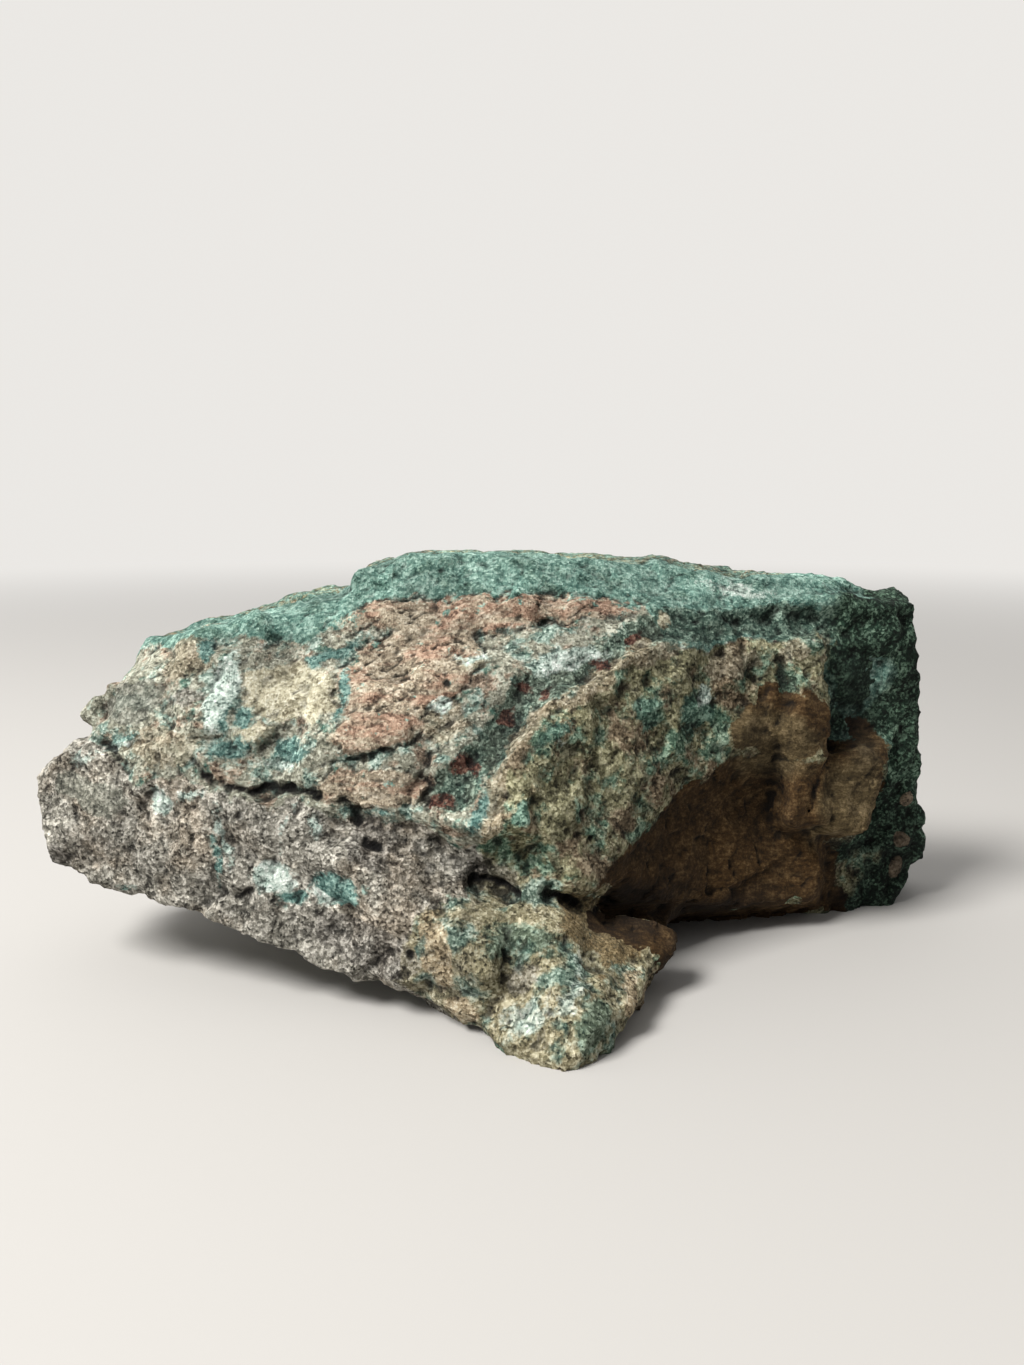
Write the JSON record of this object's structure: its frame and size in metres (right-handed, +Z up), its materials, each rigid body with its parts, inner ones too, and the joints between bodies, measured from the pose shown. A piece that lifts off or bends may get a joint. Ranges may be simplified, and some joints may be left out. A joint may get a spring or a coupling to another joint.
{
  "type": "raw mineral rock",
  "caption": "Rough block of dark basalt with a green mineral skin, tan crust plates and a fresh hollow break, resting on its broken underside and on a lobe that juts out in front.",
  "frame": {"origin": "on the ground under the middle of the rock's box", "axes": "+X along the rock's length to its heavy green end, +Y to its back, +Z up"},
  "size_m": [0.477, 0.24, 0.202],
  "materials": {
    "rock": "rough, dry and dull, with green mineral skin over grey-brown basalt"
  },
  "bodies": {
    "root": {"rock": "rock"}
  },
  "joints": []
}
